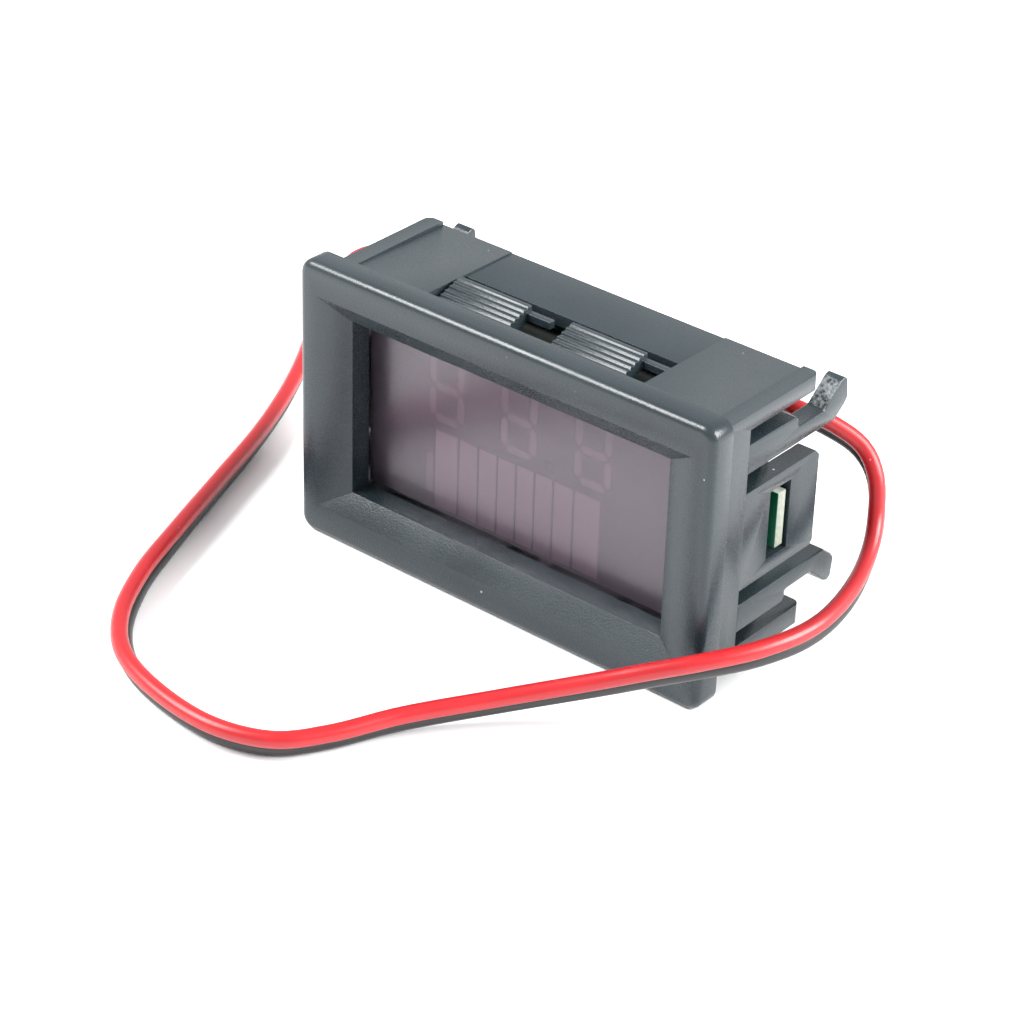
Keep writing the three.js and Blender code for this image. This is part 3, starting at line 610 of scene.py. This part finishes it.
def insulation_tube(name, path, partner, radius, web):
    """A wire's insulation: a round section with a narrow web towards the seam of the pair."""
    shape = bmesh.new()
    uv_layer = shape.loops.layers.uv.new("along")
    sides, opening, half_web = 22, math.radians(24), 0.3 * radius
    section = [(web, -half_web), (web, half_web)]
    for i in range(sides):
        angle = opening + (2 * math.pi - 2 * opening) * i / (sides - 1)
        section.append((radius * math.cos(angle), radius * math.sin(angle)))
    rings = []
    for index, point in enumerate(path):
        along = (path[min(index + 1, len(path) - 1)] - path[max(index - 1, 0)]).normalized()
        close = partner[max(0, index - 6):index + 7] or partner[-7:]
        nearest = min(close, key=lambda q: (q - point).length)
        across = nearest - point
        across = (across - along * across.dot(along)).normalized()
        out = along.cross(across)
        rings.append([shape.verts.new(point + across * a + out * b) for a, b in section])
    count = len(section)
    for index, (low, high) in enumerate(zip(rings, rings[1:])):
        for i in range(count):
            face = shape.faces.new((low[i], low[(i + 1) % count], high[(i + 1) % count], high[i]))
            face.smooth = True
            spots = ((index, i), (index, i + 1), (index + 1, i + 1), (index + 1, i))
            for loop, (step, turn) in zip(face.loops, spots):
                loop[uv_layer].uv = (step / len(path), turn / count)
    shape.faces.new(rings[0])
    shape.faces.new(rings[-1])
    return from_bmesh(name, shape)


def insulation(name, tone):
    """Soft PVC with a satin skin, faint lines drawn along it and a few scuffs."""
    made, tree, shader = material(name, {"IOR": 1.52})
    along = add(tree, "ShaderNodeTexCoord").outputs["UV"]
    drawn = add(tree, "ShaderNodeMapping", {"Vector": along, "Scale": (40.0, 60.0, 1.0)})
    lines = add(tree, "ShaderNodeTexNoise", {"Vector": drawn.outputs[0], "Scale": 1.0, "Detail": 3.0})
    skin = placed(tree, "moulded_grain", size=0.16 * MM)
    patch = placed(tree, "handling", size=7 * MM)
    specks = placed(tree, "dust_specks", size=1.3 * MM, amount=0.05)
    deep = blended(tree, patch.outputs["Mask"], [c * 0.86 for c in tone], tone)
    dusty = blended(tree, specks.outputs["Mask"], deep, [min(1, c * 0.8 + 0.18) for c in tone])
    tree.links.new(dusty, shader.inputs["Base Color"])
    rough = math_node(tree, "ADD", ramp(tree, lines.outputs["Fac"], 0.3, 0.7, 0.3, 0.38),
                      ramp(tree, patch.outputs["Mask"], 0, 1, -0.03, 0.05))
    tree.links.new(rough, shader.inputs["Roughness"])
    height = math_node(tree, "ADD", math_node(tree, "MULTIPLY", lines.outputs["Fac"], 0.8),
                       math_node(tree, "MULTIPLY", skin.outputs["Height"], 0.35))
    bumped(tree, shader, height, 0.02 * MM, 0.7)
    return made


def tinned(name, tone, roughness=0.26):
    """Bright tin with a faintly rippled skin and dull patches."""
    made, tree, shader = material(name, {"Metallic": 1.0})
    patch = placed(tree, "handling", size=0.9 * MM)
    skin = placed(tree, "moulded_grain", size=0.22 * MM)
    tree.links.new(blended(tree, patch.outputs["Mask"], tone, [c * 0.7 for c in tone]),
                   shader.inputs["Base Color"])
    rough = ramp(tree, patch.outputs["Mask"], 0, 1, roughness - 0.06, roughness + 0.16)
    tree.links.new(rough, shader.inputs["Roughness"])
    bumped(tree, shader, skin.outputs["Height"], 0.018 * MM, 0.6)
    return made


def solder_finish():
    return bpy.data.materials.get("bright_tin") or tinned("bright_tin", settings("board").tin)


# ------------------------------------------------------------------ operators

class METER_OT_stage(bpy.types.Operator):
    """Pale floor, soft light and the camera"""
    bl_idname = "meter.stage"
    bl_label = "Stage"

    def execute(self, context):
        stage = settings("stage")
        scene = context.scene
        scene.view_settings.view_transform = "Standard"

        shape = bmesh.new()
        bmesh.ops.create_grid(shape, x_segments=1, y_segments=1, size=1.6)
        made, tree, shader = material("pale_floor", {"IOR": 1.4})
        grain = placed(tree, "moulded_grain", size=0.5 * MM)
        patch = placed(tree, "handling", size=120 * MM)
        tone = tuple(stage.floor)
        tree.links.new(blended(tree, patch.outputs["Mask"], tone, [c * 0.98 for c in tone]),
                       shader.inputs["Base Color"])
        tree.links.new(ramp(tree, patch.outputs["Mask"], 0, 1, 0.55, 0.62), shader.inputs["Roughness"])
        bumped(tree, shader, grain.outputs["Height"], 0.01 * MM, 0.3)
        floor = shown("floor", from_bmesh("floor", shape), made)

        world = bpy.data.worlds.new("pale_surround")
        world.use_nodes = True
        surround = world.node_tree.nodes["Background"]
        surround.inputs["Color"].default_value = (0.97, 0.985, 1.0, 1)
        surround.inputs["Strength"].default_value = stage.sky
        scene.world = world

        aim = Vector((0, 0, 0.014))
        for name, direction, distance, size, watts in (
            ("key_light", (-0.53, -0.46, 0.71), 0.7, 0.36, stage.key),
            ("rear_light", (0.78, 0.36, 0.50), 0.8, 0.5, stage.fill),
        ):
            lamp = bpy.data.lights.new(name, "AREA")
            lamp.shape = "DISK"
            lamp.size = size
            lamp.energy = watts
            holder = bpy.data.objects.new(name, lamp)
            way = Vector(direction).normalized()
            holder.location = aim + way * distance
            holder.rotation_mode = "QUATERNION"
            holder.rotation_quaternion = way.to_track_quat("Z", "Y")
            scene.collection.objects.link(holder)

        azimuth, elevation, roll = (math.radians(a) for a in (39.041, 31.225, 1.790))
        back = Vector((
            math.sin(azimuth) * math.cos(elevation),
            -math.cos(azimuth) * math.cos(elevation),
            math.sin(elevation),
        ))
        level = (-back).cross(Vector((0, 0, 1))).normalized()
        rise = level.cross(-back)
        right = level * math.cos(roll) + rise * math.sin(roll)
        up = rise * math.cos(roll) - level * math.sin(roll)
        lens = bpy.data.cameras.new("camera")
        lens.lens = stage.focal_length
        lens.sensor_width = 36
        lens.clip_start = 0.01
        lens.clip_end = 20
        camera = bpy.data.objects.new("camera", lens)
        turn = Matrix((right, up, back)).transposed().to_4x4()
        spot = in_frame(Vector((158.396, -192.534, 162.571)))
        camera.matrix_world = Matrix.Translation(spot) @ turn
        scene.collection.objects.link(camera)
        scene.camera = camera
        return {"FINISHED"}


class METER_OT_twin_lead(bpy.types.Operator):
    """Red and black wires of the twin lead, with their bare tinned ends"""
    bl_idname = "meter.twin_lead"
    bl_label = "Twin lead"

    def execute(self, context):
        lead = settings("lead")
        tin = solder_finish()
        routes = {
            side: [in_frame(p) for p in evenly(wire_points(side), PATH_STEP)] for side in (1, -1)
        }
        for word, side, tone in (("red", 1, lead.red), ("black", -1, lead.black)):
            path = routes[side]
            mesh = insulation_tube(f"{word}_insulation", path, routes[-side], lead.diameter / 2, lead.web)
            wire = shown(f"{word}_insulation", mesh, insulation(f"{word}_pvc", tuple(tone)))
            stands_for(wire, f"{word}_insulation", f"{word}_wire")

            heading = path[-1] - path[-2]
            heading.z = 0
            heading.normalize()
            low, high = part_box(f"{word}_wire_tip")
            root = path[-1] - heading * STRAND_OVERLAP
            reach = (high - low).length * 0.95
            turn = heading.to_track_quat("Z", "Y").to_matrix().to_4x4()
            tip = generated(
                f"{word}_bare_end", bpy.data.meshes.new(f"{word}_bare_end"), "twisted_strands",
                Matrix.Translation(root) @ turn, strands=lead.strands,
                strand_diameter=lead.strand, length=reach, material=tin,
            )
            stands_for(tip, "solder", f"{word}_wire_tip")
        return {"FINISHED"}


class METER_OT_housing(bpy.types.Operator):
    """Bezel, walls and side tabs as one moulding"""
    bl_idname = "meter.housing"
    bl_label = "Housing"

    def execute(self, context):
        case = settings("case")
        piece = rounded("housing_moulding", copied("housing"), case.edge, 3, case_finish())
        stands_for(piece, "case_plastic", "housing")
        return {"FINISHED"}


def case_finish():
    case = settings("case")
    return bpy.data.materials.get("charcoal_case") or moulded(
        "charcoal_case", tuple(case.plastic), case.roughness, case.grain, 0.012 * MM,
    )


def rooted(limit, reach):
    """Lengthens a piece at its root, so that it grows out of the case."""
    def change(shape):
        for corner in shape.verts:
            if corner.co.y < limit:
                corner.co.y -= reach
    return change


def sheared_finish():
    """Torn plastic where the sprue was cut from a hook: coarse, pale and glittering."""
    case = settings("case")
    made, tree, shader = material("sheared_plastic", {"IOR": 1.5, "Roughness": 0.34})
    torn = add(tree, "ShaderNodeTexVoronoi", {
        "Vector": add(tree, "ShaderNodeTexCoord").outputs["Object"], "Scale": 2400.0,
    })
    skin = placed(tree, "moulded_grain", size=case.grain)
    pale = blended(tree, ramp(tree, torn.outputs["Distance"], 0.15, 0.75), tuple(case.plastic),
                   (0.2, 0.22, 0.23))
    tree.links.new(pale, shader.inputs["Base Color"])
    height = math_node(tree, "ADD", torn.outputs["Distance"], skin.outputs["Height"])
    bumped(tree, shader, height, 0.22 * MM)
    return made


class METER_OT_snap_arms(bpy.types.Operator):
    """Four hooked arms, lengthened at their roots into the case"""
    bl_idname = "meter.snap_arms"
    bl_label = "Snap arms"

    def execute(self, context):
        case = settings("case")
        torn = sheared_finish()
        for side in ("left", "right"):
            for level in ("lower", "upper"):
                node = f"{side}_{level}_snap_arm"
                low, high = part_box(node)
                middle = (low + high) / 2

                def on_hook(at, outward=1 if level == "upper" else -1, centre=middle.z):
                    ahead = HOOK_FRONT_Y < at.y < high.y - HOOK_REAR_BEVEL
                    return int(ahead and (at.z - centre) * outward > HOOK_RISE)

                mesh = copied(node, rooted(low.y + 0.01 * MM, ROOT_OVERLAP))
                piece = rounded(f"{side}_{level}_hook_arm", mesh, case.edge, 3, case_finish(), torn,
                                choose=on_hook)
                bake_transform(piece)
                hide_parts(node)
        return {"FINISHED"}


class METER_OT_panel_grips(bpy.types.Operator):
    """Four serrated tongues that press against the panel"""
    bl_idname = "meter.panel_grips"
    bl_label = "Panel grips"

    def execute(self, context):
        case = settings("case")
        for side in ("left", "right"):
            for level in ("lower", "upper"):
                node = f"{side}_{level}_panel_grip"
                low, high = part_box(node)
                mesh = copied(node, rooted(low.y + 0.01 * MM, ROOT_OVERLAP))
                piece = rounded(f"{side}_{level}_serrated_grip", mesh, case.fine_edge, 2, case_finish())
                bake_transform(piece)
                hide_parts(node)
        return {"FINISHED"}


class METER_OT_display(bpy.types.Operator):
    """Smoked lens, display body, digits and battery bars"""
    bl_idname = "meter.display"
    bl_label = "Display"

    def execute(self, context):
        display = settings("display")

        made, tree, shader = material("smoked_lens", {
            "Base Color": (*display.lens, 1), "IOR": 1.49, "Transmission Weight": 1.0,
            "Specular IOR Level": 0.15,
        })
        patch = placed(tree, "handling", size=9 * MM)
        tree.links.new(ramp(tree, patch.outputs["Mask"], 0, 1, 0.18, 0.22), shader.inputs["Roughness"])
        skin = placed(tree, "moulded_grain", size=0.3 * MM)
        bumped(tree, shader, skin.outputs["Height"], 0.004 * MM, 0.3)
        dress("smoked_lens", made)

        made, tree, shader = material("display_shell", {"IOR": 1.5})
        place = add(tree, "ShaderNodeSeparateXYZ", {0: add(tree, "ShaderNodeTexCoord").outputs["Object"]})
        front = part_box("display_body")[0].y
        printed = math_node(tree, "LESS_THAN", place.outputs[1], front + FACE_SKIN)
        patch = placed(tree, "handling", size=8 * MM)
        face = blended(tree, patch.outputs["Mask"], tuple(display.face), [c * 1.12 for c in display.face])
        # Behind the printed face the shell takes the darkened body colour: painted shade inside the case.
        tree.links.new(blended(tree, printed, tuple(display.body), face), shader.inputs["Base Color"])
        tree.links.new(ramp(tree, patch.outputs["Mask"], 0, 1, 0.5, 0.62), shader.inputs["Roughness"])
        skin = placed(tree, "moulded_grain", size=0.14 * MM)
        bumped(tree, shader, skin.outputs["Height"], 0.012 * MM)
        dress("display_body", made)

        for name, tone, nodes in (
            ("digit_epoxy", tuple(display.digits),
             ("digit_1", "digit_2", "digit_3", "battery_terminal_bar")),
            ("point_epoxy", tuple(display.face), ("decimal_point",)),
            ("bar_epoxy", tuple(display.epoxy), [f"battery_bar_{n}" for n in range(1, 9)]),
        ):
            made, tree, shader = material(name, {"IOR": 1.52})
            patch = placed(tree, "handling", size=3 * MM)
            skin = placed(tree, "moulded_grain", size=0.12 * MM)
            tree.links.new(blended(tree, patch.outputs["Mask"], tone, [c * 1.1 for c in tone]),
                           shader.inputs["Base Color"])
            tree.links.new(ramp(tree, skin.outputs["Glint"], 0, 1, 0.42, 0.55), shader.inputs["Roughness"])
            bumped(tree, shader, skin.outputs["Height"], 0.008 * MM)
            for node in nodes:
                dress(node, made)
        return {"FINISHED"}


def board_finish(board):
    """Green solder mask on the faces, pale glass laminate where a board was cut."""
    made = bpy.data.materials.get("masked_laminate")
    if made:
        return made
    made, tree, shader = material("masked_laminate", {"IOR": 1.5})
    place = add(tree, "ShaderNodeSeparateXYZ", {0: add(tree, "ShaderNodeTexCoord").outputs["Object"]})
    # Only the cut edge of a board lies between its two faces. Each is measured from its flat back.
    cut = 0.0
    for node, thickness in BOARD_THICKNESS.items():
        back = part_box(node)[1].y
        behind = math_node(tree, "GREATER_THAN", place.outputs[1], back - thickness + FACE_SKIN)
        ahead = math_node(tree, "LESS_THAN", place.outputs[1], back - FACE_SKIN)
        cut = math_node(tree, "ADD", cut, math_node(tree, "MULTIPLY", behind, ahead))
    patch = placed(tree, "handling", size=5 * MM)
    weave = add(tree, "ShaderNodeTexVoronoi", {
        "Vector": add(tree, "ShaderNodeTexCoord").outputs["Object"], "Scale": 2600.0,
    })
    mask = blended(tree, patch.outputs["Mask"], tuple(board.mask), [c * 1.35 for c in board.mask])
    fibres = blended(tree, ramp(tree, weave.outputs["Distance"], 0.2, 0.7), tuple(board.laminate),
                     [c * 0.82 for c in board.laminate])
    tree.links.new(blended(tree, cut, mask, fibres), shader.inputs["Base Color"])
    tree.links.new(ramp(tree, cut, 0, 1, 0.42, 0.75), shader.inputs["Roughness"])
    skin = placed(tree, "moulded_grain", size=0.25 * MM)
    bumped(tree, shader, skin.outputs["Height"], 0.006 * MM, 0.6)
    return made


class METER_OT_circuit_board(bpy.types.Operator):
    """Circuit board with its tracks, and the carrier of the light-emitting chips"""
    bl_idname = "meter.circuit_board"
    bl_label = "Circuit board"

    def execute(self, context):
        board = settings("board")
        finish = board_finish(board)
        piece = rounded("masked_board", copied("main_board"), 0.06 * MM, 1, finish)
        stands_for(piece, "board_laminate", "main_board")
        dress("led_carrier", finish)

        # A track runs from each display pin to its lead of the driver chip. Its section is
        # squeezed towards the origin, so the chains are laid at the origin's level.
        shape = bmesh.new()
        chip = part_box("display_driver_chip")
        chip_x = (chip[0].x + chip[1].x) / 2
        for number in range(2 * PIN_COLUMNS):
            low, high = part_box(f"display_pin_{number + 1}")
            pin = (low + high) / 2
            column = number % PIN_COLUMNS
            upper = number >= PIN_COLUMNS
            lead_x = chip_x + (column - 2.5) * 1.3 * MM
            lead_z = (chip[1].z - 0.4 * MM) if upper else (chip[0].z + 0.4 * MM)
            inward = min(column, 5 - column)
            sign = 1 if upper else -1
            channel = lead_z + sign * (1.0 + 0.62 * (inward if column < 3 else inward + 0.3)) * MM
            if column < 3 and lead_x < pin.x:
                channel = lead_z + sign * 2.9 * MM
            track = [(lead_x, lead_z), (lead_x, channel), (pin.x, channel), (pin.x, pin.z)]
            corners = [shape.verts.new((x, 0, z)) for x, z in track]
            for a, b in zip(corners, corners[1:]):
                shape.edges.new((a, b))
        tracks = bpy.data.meshes.new("tracks")
        shape.to_mesh(tracks)
        shape.free()
        covered = moulded("covered_copper", [c * 2.0 + 0.006 for c in board.mask], 0.3, 0.25 * MM,
                          0.01 * MM, dust=0.0)
        piece = generated(
            "covered_tracks", tracks, "raised_tracks", Matrix.Translation((0, BOARD_BACK_Y, 0)),
            width=board.track, thickness=0.07 * MM, bend_radius=0.5 * MM, material=covered,
        )
        stands_for(piece, "board_laminate")
        return {"FINISHED"}


class METER_OT_components(bpy.types.Operator):
    """Chips, diode, capacitors and resistors on the back of the board"""
    bl_idname = "meter.components"
    bl_label = "Components"

    def execute(self, context):
        board = settings("board")
        tin = solder_finish()
        resin = moulded("chip_resin", tuple(board.resin), 0.5, 0.09 * MM, 0.012 * MM, dust=0.03)
        film = moulded("resistor_film", (0.012, 0.012, 0.014), 0.25, 0.2 * MM, 0.004 * MM, dust=0.0)
        fired = moulded("fired_ceramic", tuple(board.ceramic), 0.45, 0.12 * MM, 0.008 * MM, dust=0.0)

        # Driver chip: a drafted resin body and a gull-wing lead for every pin.
        low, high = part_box("display_driver_chip")
        lead_run = 0.95 * MM
        body_low = Vector((low.x, low.y + 0.1 * MM, low.z + lead_run))
        body_high = Vector((high.x, high.y, high.z - lead_run))
        shape = bmesh.new()
        bmesh.ops.create_cube(shape, size=1)
        draft = 0.09 * MM
        middle, size = (body_low + body_high) / 2, body_high - body_low
        for corner in shape.verts:
            rear = corner.co.y > 0
            pull = draft if rear else 0
            corner.co = Vector((
                middle.x + math.copysign(size.x / 2 - pull, corner.co.x),
                middle.y + corner.co.y * size.y,
                middle.z + math.copysign(size.z / 2 - pull, corner.co.z),
            ))
        piece = rounded("driver_chip_body", from_bmesh("driver_chip_body", shape), 0.05 * MM, 2, resin)
        stands_for(piece, "chip_resin", "display_driver_chip")

        # Side view of a lead as height off the board against distance from the foot's middle.
        thick, half_width = 0.16 * MM, 0.13 * MM
        outer = [(0.45, 0.0), (-0.05, 0.0), (-0.3, 0.42), (-0.7, 0.42)]
        inner = [(-0.7, 0.58), (-0.38, 0.58), (-0.12, 0.16), (0.45, 0.16)]
        shape = bmesh.new()
        ends = []
        for x in (-half_width, half_width):
            ends.append([shape.verts.new((x, up * MM, out * MM)) for out, up in outer + inner])
        count = len(ends[0])
        for i in range(count):
            j = (i + 1) % count
            shape.faces.new((ends[0][i], ends[0][j], ends[1][j], ends[1][i]))
        for end in ends:
            shape.faces.new(end)
        bmesh.ops.bevel(shape, geom=shape.edges[:], offset=thick * 0.12, segments=1, affect="EDGES")
        centre = Vector(((low.x + high.x) / 2, low.y, (low.z + high.z) / 2))
        piece = generated(
            "driver_chip_leads", from_bmesh("driver_chip_leads", shape), "copies_on_a_grid",
            Matrix.Translation(centre), columns=CHIP_LEADS_PER_SIDE, rows=2, width=(CHIP_LEADS_PER_SIDE - 1) * CHIP_LEAD_PITCH,
            height=high.z - low.z - 0.9 * MM, lower_row_turn=math.pi, material=tin,
        )
        stands_for(piece, "chip_resin")

        def ends_of(node, axis, inset):
            low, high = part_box(node)
            return lambda at: 1 if min(at[axis] - low[axis], high[axis] - at[axis]) < inset else 0

        for name, node, axis, inset, finish, slot in (
            ("regulator_package", "voltage_regulator", 2, 0.9 * MM, resin, "chip_resin"),
            ("diode_package", "input_diode", 0, 0.55 * MM, resin, "chip_resin"),
            *((f"chip_capacitor_{n}", f"filter_capacitor_{n}", 0, CHIP_END, fired, "ceramic")
              for n in (1, 2)),
            *((f"chip_resistor_{n}", f"resistor_{n}", 0, CHIP_END, film, "chip_resin")
              for n in (1, 2, 3, 4)),
        ):
            piece = rounded(name, copied(node), 0.035 * MM, 2, finish, tin,
                            choose=ends_of(node, axis, inset))
            stands_for(piece, slot, node)
        return {"FINISHED"}


class METER_OT_solder(bpy.types.Operator):
    """Soldered pins of the display and the two soldered wires"""
    bl_idname = "meter.solder"
    bl_label = "Solder"

    def execute(self, context):
        tin = solder_finish()
        low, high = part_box("display_pin_1")
        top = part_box("display_pin_12")
        back = high.y - low.y
        seat = BOARD_BACK_Y - low.y
        profile = [
            (0, 0), (0.26, 0), (0.3, 0.05), (0.3, seat / MM), (0.78, seat / MM), (0.8, seat / MM + 0.06),
            (0.68, seat / MM + 0.2), (0.52, seat / MM + 0.4), (0.4, seat / MM + 0.62),
            (0.32, seat / MM + 0.85), (0.29, back / MM - 0.12), (0.24, back / MM - 0.03), (0, back / MM),
        ]
        joint = lathe("display_pins", [(r * MM, d * MM) for r, d in profile], 24)
        centre = Vector((0, low.y, (low.z + top[1].z) / 2))
        spread = top[1].x - low.x - (high.x - low.x)
        rise = top[1].z - low.z - (high.z - low.z)
        piece = generated(
            "display_pins", joint, "copies_on_a_grid", Matrix.Translation(centre),
            columns=PIN_COLUMNS, rows=2, width=spread, height=rise, lower_row_turn=0.0, material=tin,
        )
        stands_for(piece, "solder", *[f"display_pin_{n}" for n in range(1, 13)])

        for word in ("red", "black"):
            low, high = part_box(f"{word}_solder_joint")
            middle = (low + high) / 2
            reach = (high.y - low.y) / MM
            profile = [
                (0, -0.08), (1.08, -0.08), (1.15, 0.02), (1.12, 0.14), (1.02, 0.32), (0.86, 0.52),
                (0.68, 0.7), (0.54, 0.86), (0.46, 1.0), (0.42, reach + 0.3), (0, reach + 0.3),
            ]
            mesh = lathe(f"{word}_joint", [(r * MM, d * MM) for r, d in profile], 28)
            mesh.transform(Matrix.Translation((middle.x, low.y, middle.z)))
            stands_for(shown(f"{word}_joint", mesh, tin), "solder", f"{word}_solder_joint")
        return {"FINISHED"}


class METER_PT_sidebar(bpy.types.Panel):
    """Sizes, colours and build steps of the voltmeter"""
    bl_idname = "METER_PT_sidebar"
    bl_label = "Panel voltmeter"
    bl_space_type = "VIEW_3D"
    bl_region_type = "UI"
    bl_category = "Voltmeter"

    def draw(self, context):
        for group in GROUPS:
            box = self.layout.box()
            box.label(text=group.capitalize())
            for name in GROUPS[group].__annotations__:
                box.prop(settings(group), name)
        for operator in OPERATORS:
            self.layout.operator(operator.bl_idname)


GROUPS = {
    "case": CaseSettings, "display": DisplaySettings, "lead": LeadSettings,
    "board": BoardSettings, "stage": StageSettings,
}
OPERATORS = (
    METER_OT_stage, METER_OT_twin_lead, METER_OT_housing, METER_OT_snap_arms, METER_OT_panel_grips,
    METER_OT_display, METER_OT_circuit_board, METER_OT_components, METER_OT_solder,
)


def register():
    for group, kind in GROUPS.items():
        bpy.utils.register_class(kind)
        setattr(bpy.types.Scene, "meter_" + group, bpy.props.PointerProperty(type=kind))
    for kind in (*OPERATORS, METER_PT_sidebar):
        bpy.utils.register_class(kind)


def unregister():
    for kind in (METER_PT_sidebar, *reversed(OPERATORS)):
        bpy.utils.unregister_class(kind)
    for group, kind in GROUPS.items():
        delattr(bpy.types.Scene, "meter_" + group)
        bpy.utils.unregister_class(kind)


def main():
    register()
    bpy.ops.meter.stage()
    bpy.ops.meter.twin_lead()
    bpy.ops.meter.housing()
    bpy.ops.meter.snap_arms()
    bpy.ops.meter.panel_grips()
    bpy.ops.meter.display()
    bpy.ops.meter.circuit_board()
    bpy.ops.meter.components()
    bpy.ops.meter.solder()


if __name__ == "__main__":
    main()
